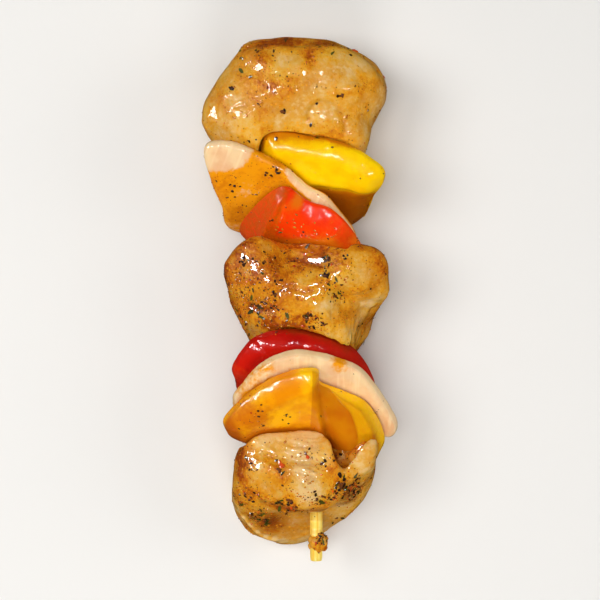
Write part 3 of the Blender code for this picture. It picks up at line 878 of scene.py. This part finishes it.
def makeSlice(name, facts):
    pepper = "look" in facts
    wall = sliceShape["pepperWall" if pepper else "onionWall"]
    edge = smoothPath(facts["outline"], 0.6, closed=True)
    bm = bmesh.new()
    bmesh.ops.create_circle(bm, cap_ends=True, segments=len(edge), radius=1)
    bm.verts.ensure_lookup_table()
    for vert, (s, h) in zip(bm.verts, edge):
        vert.co = (s, h, -wall / 2)
    grown = bmesh.ops.extrude_face_region(bm, geom=bm.faces[:])
    bmesh.ops.translate(
        bm, vec=(0, 0, wall), verts=[part for part in grown["geom"] if isinstance(part, bmesh.types.BMVert)]
    )
    bmesh.ops.recalc_face_normals(bm, faces=bm.faces)
    mesh = evenMesh(bm, name + "_slice", sliceShape["cell"], facts["rounds"])
    flat = placesOf(mesh)
    closed = np.vstack((edge, edge[:3]))
    inward = nearPath(flat, closed, 12.0)[0]  # how far in from the outline
    seed = facts["seed"]
    through = np.clip(flat[:, 2] / (wall / 2), -1, 1)
    front = rise(-through, -0.2, 0.9)
    shaped = flat.copy()
    across = np.array(facts["outline"])[:, 0]
    leftness = np.clip((across.mean() - flat[:, 0]) / (across.mean() - across.min()), 0, None)
    shaped[:, 0] += facts.get("slant", 0) * leftness**2 * (1 - (through + 1) / 2)
    rollReach, rollShare = facts["roll"]  # the front rounds over towards its edge
    rolled = wall * rollShare * (1 - np.clip(inward / rollReach, 0, 1)) ** 2 * (1 - through) / 2
    if "rollFrom" in facts:
        rolled *= rise(flat[:, 0], *facts["rollFrom"])
    for stroke in facts.get("strokes", ()):
        shaped[:, 2] -= shapeStroke(flat[:, :2], smoothPath(stroke["path"]), stroke)[0] * front
    shaped[:, 2] += spots(flat, facts.get("hollows", ())) * front + rolled + facts.get("offset", 0)
    setPlaces(mesh, bend(sheets[facts["sheet"]], shaped))
    mesh.flip_normals()
    soften(mesh, 2)
    places, normals = placesOf(mesh), normalsOf(mesh)
    gap = gapToOthers(places, name)
    meatGap = gapToOthers(places, name, 9.0, "chicken")
    room = rise(gap, 0.1, 1.5)
    relief = 0.35 * lumps(places, 12, seed, 2) + 0.06 * lumps(places, 3, seed + 1, 2)
    places += normals * (relief * (0.1 + 0.9 * room))[:, None]
    places[:, 2] = np.maximum(places[:, 2], 0.0)
    setPlaces(mesh, places)

    rim = (1 - rise(inward, 0.3, 1.1)) * rise(1 - abs(through), 0.05, 0.3)
    pale = sideMask(flat, facts.get("pales", ())) * rise(-through, -1.0, 0.2)
    # stain near the meat is marinade rubbed off; the stain near any piece and low down is partly painted shade
    stain = 0.6 * fade(meatGap, 2.0) + 0.25 * fade(gap, 0.8) + 0.3 * (1 - rise(places[:, 2], 0, 10))
    stain += facts.get("stained", 0) + spots(flat, facts.get("stains", ()))
    stain = np.clip(stain + 0.25 * lumps(places, 5, seed + 3, 3), 0, 1) * (1 - pale)
    shade = np.clip(sideMask(flat, facts.get("shades", ())) * front + 0.2 * fade(gap, 0.5), 0, 1)
    facet = sideMask(flat, facts.get("facets", ()))
    paint(mesh, flat=flat * mm, rim=rim, stain=stain, shade=shade, facet=facet)
    dirt = (0.04 + 0.6 * rise(stain, 0.25, 0.9)) * rise(gap, 0.3, 0.9)
    keepSurface(name, mesh, places, dirt, 0.3 * stain)
    if pepper:
        colours = pepperLook[facts["look"]]
        addPiece(name + "_slice", mesh, pepperFinish(name + "Wall", colours, seed), colours["slot"], name)
    else:
        addPiece(name + "_petal", mesh, onionFinish(name + "Flesh", seed), "onion", name)
    print(name, len(mesh.polygons), "faces")


for sliceName, sliceFacts in slices.items():
    makeSlice(sliceName, sliceFacts)


# The bamboo stick, and thick marinade that has gathered on it and beside the golden slice.

def stickFinish(name):
    look = Finish(
        name, Subsurface_Weight=0.1, Subsurface_Radius=(1.0, 0.6, 0.3), Subsurface_Scale=0.001,
        Coat_Weight=0.25, Coat_Roughness=0.15, Specular_IOR_Level=0.4,
    )
    grain = look.cloud(0.5, 3, 3, 0.6, (1, 0.03, 1))
    colour = look.ramp(grain, [(0.3, (252, 190, 60)), (0.5, (255, 220, 96)), (0.7, (255, 238, 150))])
    colour = look.mix(look.spread(look.cloud(5, 4, 2), 0.4, 0.7, 0, 0.35), colour, (255, 196, 60))
    colour = look.mix(look.spread(look.painted("stain"), 0.2, 0.9, 0, 0.85), colour, (232, 150, 24))
    look.plug("Base Color", colour)
    look.plug("Roughness", look.spread(grain, 0.3, 0.7, 0.36, 0.55))
    look.plug("Normal", look.bump(grain, 0.14))
    return look.material


def makeStick(facts):
    bm = bmesh.new()
    bmesh.ops.create_circle(bm, cap_ends=True, segments=facts["sides"], radius=facts["radius"])
    bmesh.ops.rotate(bm, cent=(0, 0, 0), matrix=Matrix.Rotation(math.radians(90), 3, "X"), verts=bm.verts)
    bmesh.ops.translate(bm, vec=(facts["x"], facts["start"], facts["z"]), verts=bm.verts)
    face = next(iter(bm.faces))
    for _ in range(int(facts["end"] - facts["start"])):
        grown = bmesh.ops.extrude_face_region(bm, geom=[face])
        face = next(part for part in grown["geom"] if isinstance(part, bmesh.types.BMFace))
        bmesh.ops.translate(bm, vec=(0, 1, 0), verts=face.verts[:])
    bmesh.ops.recalc_face_normals(bm, faces=bm.faces)
    mesh = meshFrom(bm, "bambooStick")
    places = placesOf(mesh)
    along = places[:, 1] - facts["start"]
    off = places[:, [0, 2]] - (facts["x"], facts["z"])
    turn = np.arctan2(off[:, 1], off[:, 0])
    ridge = 0.05 * np.sin(turn * 9) + 0.04 * np.sin(turn * 4 + 1)
    outside = np.hypot(off[:, 0], off[:, 1]) > facts["radius"] * 0.5  # not the caps' middles
    tip = rise(facts["end"] - places[:, 1], 0, facts["taper"])
    scale = (0.1 + 0.9 * tip) * (1 + (ridge - 0.05) * outside)
    scale *= 1 - 0.12 * (1 - rise(along, 0, 1.2))
    places[:, [0, 2]] = np.array([facts["x"], facts["z"]]) + off * scale[:, None]
    setPlaces(mesh, places)
    stain = 0.2 * rise(places[:, 1], -61, -59) + 0.25 * lumps(places, 4, 31, 2)
    paint(mesh, stain=np.clip(stain, 0, 1))
    dirt = 0.15 * rise(-places[:, 1], 56, 60) * rise(along, 0.5, 2)
    keepSurface("stick", mesh, places, dirt, np.zeros(len(places)))
    addPiece("bambooStick", mesh, stickFinish("bambooStick"), "bamboo", "stick")


makeStick(stickFacts)

clumps = {  # thick marinade: run down to the stick's end, and caught between the golden slice and the meat
    "marinadeClump": {
        "drops": [(4.8, -70.6, 18.2, 1.9), (6.3, -70.9, 17.6, 1.9), (3.7, -70, 17.6, 1.4), (5.9, -69, 18, 1.4),
                  (5.2, -72.5, 18, 1.3), (6.9, -72.2, 16.9, 1.2), (7.2, -69.6, 17, 1.1), (3.4, -71.8, 17, 1.1)],
        "cell": 0.28, "rounds": 9, "rough": 0.2, "thick": 0.64, "seed": 41, "dirt": 5.0,
    },
    "pocketMarinade": {
        "drops": [(12.7, -46.8, 21.6, 3.2), (11.2, -45.4, 20.4, 2.4), (14.4, -45.9, 22.6, 2.6), (13.2, -44.2, 21.2, 2.2),
                  (16.2, -45, 24.6, 2.4), (10.6, -43.6, 19.6, 1.8), (17.2, -43.4, 25.4, 2.3),
                  (18.4, -42, 26, 1.9)],
        "cell": 0.4, "rounds": 30, "rough": 0.14, "thick": 0.48, "seed": 46, "dirt": 0.9,
    },
}


def makeClump(name, facts):
    bm = bmesh.new()
    for x, y, z, radius in facts["drops"]:
        where = Matrix.Translation((x, y, z)) @ Matrix.Diagonal((1, 1, 0.8, 1))
        bmesh.ops.create_icosphere(bm, subdivisions=3, radius=radius, matrix=where)
    mesh = evenMesh(bm, name, facts["cell"], facts["rounds"])
    places, normals = placesOf(mesh), normalsOf(mesh)
    seed = facts["seed"]
    relief = facts["rough"] * (lumps(places, 1.9, seed, 2) + 0.5 * lumps(places, 0.8, seed + 1, 1))
    places += normals * relief[:, None]
    setPlaces(mesh, places)
    thick = np.clip(facts["thick"] + 0.5 * lumps(places, 2.5, seed + 2, 2), 0, 1)
    whole = np.ones(len(places))
    paint(mesh, marinade=thick, crease=0 * whole, wet=whole)
    keepSurface(name, mesh, places, facts["dirt"] * whole, whole)
    addPiece(name, mesh, chickenFinish(name, seed, (0, 0, 0)), "meat")


for clumpName, clumpFacts in clumps.items():
    makeClump(clumpName, clumpFacts)
print("stick made")


# Flecks: cracked pepper, dried herbs, chilli and spice, each kind joined into one mesh.

flecks = {
    "blackPepper": {"count": 520, "size": (0.2, 0.62), "flat": 0.55, "long": 1.9, "clump": 1.6, "sink": 0.25},
    "pepperDust": {"count": 2200, "size": (0.1, 0.24), "flat": 0.7, "long": 1.4, "clump": 1.2, "sink": 0.2},
    "herbLeaves": {"count": 95, "size": (0.35, 0.8), "flat": 0.16, "long": 3.0, "clump": 1.2, "sink": 0.02},
    "chilliFlakes": {"count": 60, "size": (0.2, 0.55), "flat": 0.3, "long": 1.6, "clump": 1.0, "sink": 0.1},
    "spiceGrains": {"count": 1700, "size": (0.12, 0.28), "flat": 0.7, "long": 1.4, "clump": 1.0, "sink": 0.25},
    "oilBeads": {"count": 260, "size": (0.2, 0.55), "flat": 0.35, "long": 1.8, "clump": 0.8, "sink": 0.2},
}
fleckColours = {
    "blackPepper": [(34, 16, 6), (58, 28, 10), (112, 60, 20)],
    "pepperDust": [(60, 28, 8), (96, 46, 12), (140, 72, 18)],
    "herbLeaves": [(48, 50, 12), (84, 86, 18), (58, 44, 12)],
    "chilliFlakes": [(214, 64, 8), (224, 96, 14), (170, 34, 6)],
    "spiceGrains": [(206, 92, 8), (186, 66, 6), (226, 140, 14)],
    "oilBeads": [(190, 116, 20), (206, 136, 30), (168, 90, 12)],
}
fleckVariety = 6  # shapes of each kind
fleckClusters = {  # where flecks stand out, from above: place, reach, how many, size
    "blackPepper": [
        (-19.2, 60, 0.8, 4, 1.3), (-12.5, 55.2, 0.2, 1, 1), (-4.4, 52.8, 0.5, 2, 1.6), (2.8, 49.5, 0.5, 2, 1.3),
        (12, 57.5, 1.3, 3, 1), (16, 60.5, 0.3, 1, 0.9), (-7, 71.6, 1.6, 4, 0.9), (9.3, 43.2, 0.2, 1, 0.9),
        (-8.3, 36.6, 1.8, 7, 1.2), (-18.8, 31.2, 1.8, 6, 1.2), (-15, 26.5, 1.4, 3, 0.8), (-8.3, 22.3, 0.6, 3, 1.1),
        (1, 19, 1, 3, 0.9), (-16.3, 11, 1, 5, 1.3), (-1.5, 12.2, 1, 2, 0.9), (7.2, 11.6, 1.1, 6, 1.4),
        (6.6, 7.6, 1.3, 8, 1.3), (-6.6, 1.6, 0.9, 4, 1.4), (-10.6, -1.4, 1.2, 5, 1.1), (2, -5, 1, 6, 1.4),
        (6.6, -6.2, 1.5, 5, 0.9), (12.5, 12.4, 0.8, 3, 1.1), (11, 0.6, 1, 3, 0.9),
        (-11.5, -31, 1.6, 4, 0.9), (-3.4, -33, 1, 4, 1.1), (-16.7, -37, 0.3, 1, 0.8),
        (13.4, -53.2, 1.9, 20, 1.4), (16, -56.3, 1.2, 6, 1.2), (6.4, -45.6, 0.5, 3, 1.3), (10, -45.2, 0.7, 2, 0.9),
        (-5.5, -48, 0.4, 3, 1.3), (-13.3, -47.6, 0.9, 4, 1), (5.5, -57, 1.8, 9, 1.1), (-2.4, -58, 1.2, 6, 1.1),
        (-14.5, -57, 1.8, 6, 1.1), (-10.5, -65, 1.4, 6, 1), (6, -70.2, 1.1, 7, 0.8),
    ],
    "herbLeaves": [
        (-14.2, 62.8, 0.2, 1, 0.9), (5, 59.9, 0.2, 1, 0.8), (-16.1, 69.6, 1.5, 3, 0.9), (7.4, 12.2, 0.5, 2, 0.9),
        (11.4, 1.6, 0.6, 2, 1.1), (1.9, -5.4, 0.4, 2, 1.1), (6.2, -33.2, 0.2, 1, 1), (-5.2, -48.6, 0.3, 1, 1),
        (-6.4, -58, 0.7, 3, 1.2), (-9.8, -64.8, 1, 4, 1.3), (17, -54.6, 1.2, 4, 0.9), (6.9, -69.5, 0.9, 4, 1),
    ],
    "oilBeads": [
        (-1, 21.5, 1.8, 8, 0.7), (4, 19.6, 1.6, 7, 0.6), (9, 18, 1.4, 6, 0.6), (-6, 21, 1.6, 6, 0.7),
        (2.9, -52, 1.6, 10, 0.7), (6, -70.5, 1, 6, 0.7), (0, -41.5, 2.6, 8, 0.6),
    ],
    "chilliFlakes": [
        (-5.4, -46.4, 0.5, 3, 1.7), (2.8, -44.2, 0.6, 3, 1.3), (-1.4, 9.8, 0.3, 1, 1), (-11.6, -2.6, 0.4, 2, 0.9),
        (0.4, -7.4, 0.4, 2, 1), (5.2, -71, 0.9, 3, 0.8), (16.9, 75, 0.3, 2, 1.4),
    ],
}


def fleckFinish(name, colours):
    look = Finish(
        name, Coat_Weight=1.0, Coat_Roughness=0.04 if name == "oilBeads" else 0.12, Specular_IOR_Level=0.15,
    )
    fine = look.cloud(0.3, 5, 2)
    tone = look.waver(look.painted("tone"), fine, 0.4)
    look.plug("Base Color", look.ramp(tone, list(zip((0.15, 0.5, 0.9), colours))))
    look.plug("Roughness", look.spread(fine, 0.3, 0.7, 0.35, 0.6))
    look.plug("Normal", look.bump(fine, 0.08))
    return look.material


def fleckShapes(name, facts, draw):  # a few shapes of one kind, each about 1 across
    made = []
    for _ in range(fleckVariety):
        bm = bmesh.new()
        if name == "herbLeaves":
            bmesh.ops.create_grid(bm, x_segments=5, y_segments=2, size=0.5)
            for vert in bm.verts:
                x, y = vert.co.xy
                vert.co.y = y * (1 - (2 * abs(x)) ** 2.5) * 0.9 + 0.1 * x * draw.normal()
                vert.co.z = 0.25 * (x * x) * draw.uniform(-1, 2) + abs(y) * 0.5
            bmesh.ops.remove_doubles(bm, verts=bm.verts, dist=0.02)
            bmesh.ops.solidify(bm, geom=bm.faces[:], thickness=0.12)
            bmesh.ops.recalc_face_normals(bm, faces=bm.faces)
        else:
            bead = name == "oilBeads"
            bmesh.ops.create_icosphere(bm, subdivisions=2 if bead else 1, radius=0.5)
            for vert in bm.verts:
                vert.co *= draw.uniform(0.97, 1.03) if bead else draw.uniform(0.62, 1.3)
        bm.verts.ensure_lookup_table()
        sides = [[vert.index for vert in face.verts] for face in bm.faces]
        made.append((np.array([vert.co for vert in bm.verts]), sides))
        bm.free()
    return made


def strew(name, facts, draw):
    shapes = fleckShapes(name, facts, draw)
    allPlaces, allNormals, allDirt, allWet, allClumps = (
        np.concatenate([part[key] for part in surfaces.values()])
        for key in ("places", "normals", "dirt", "wet", "clumps")
    )
    weight = allWet**3 if name == "oilBeads" else allDirt
    weight = np.clip(weight, 0, None) * np.clip(allClumps, 0.05, None) ** facts["clump"]
    weight *= rise(allPlaces[:, 2], 0.3, 3.0)
    picked = draw.choice(len(weight), facts["count"], replace=False, p=weight / weight.sum())
    low, high = facts["size"]
    laid = [  # more small ones than large
        (allPlaces[index], allNormals[index], 2 * (low + (high - low) * draw.uniform() ** 2)) for index in picked
    ]
    for x, y, reach, many, size in fleckClusters.get(name, ()):
        for aside, along in draw.normal(0, reach * 0.7, (many, 2)):
            near = np.hypot(allPlaces[:, 0] - x - aside, allPlaces[:, 1] - y - along)
            near = np.where(near < near.min() + 0.35, allPlaces[:, 2], -1).argmax()  # the highest there
            laid.append((allPlaces[near], allNormals[near], size * draw.uniform(0.6, 1.1)))
    verts, faces, tones = [], [], []
    for place, normal, size in laid:
        spin = Matrix.Rotation(draw.uniform(0, 6.283), 3, "Z")  # a full turn
        tilt = Matrix.Rotation(draw.normal(0, 0.25), 3, "X") @ Matrix.Rotation(draw.normal(0, 0.25), 3, "Y")
        long = 1 + (facts["long"] - 1) * draw.uniform(0.4, 1.0)
        narrow = size / math.sqrt(long)
        grow = Matrix.Diagonal((narrow * long, narrow, size * facts["flat"]))
        lay = np.array(Vector(normal).to_track_quat("Z", "Y").to_matrix() @ tilt @ spin @ grow)
        shape, sides = shapes[draw.integers(len(shapes))]
        centre = place + normal * size * facts["flat"] * (0.5 - facts["sink"] * 2)
        start = sum(len(part) for part in verts)
        verts.append(shape @ lay.T + centre)
        faces += [[start + i for i in side] for side in sides]
        tones.append(np.full(len(shape), draw.uniform()))
    mesh = bpy.data.meshes.new(name)
    mesh.from_pydata(np.vstack(verts) * mm, [], faces)
    paint(mesh, tone=np.concatenate(tones))
    addPiece(name, mesh, fleckFinish(name, fleckColours[name]), "meat")
    if name != "oilBeads":
        mesh.shade_flat()


for part in surfaces.values():
    part["clumps"] = 0.5 + 1.1 * lumps(part["places"], 4.5, 51, 3)
for fleckSeed, (fleckName, fleckFacts) in enumerate(flecks.items()):
    strew(fleckName, fleckFacts, np.random.default_rng(100 + fleckSeed))
print("flecks strewn")
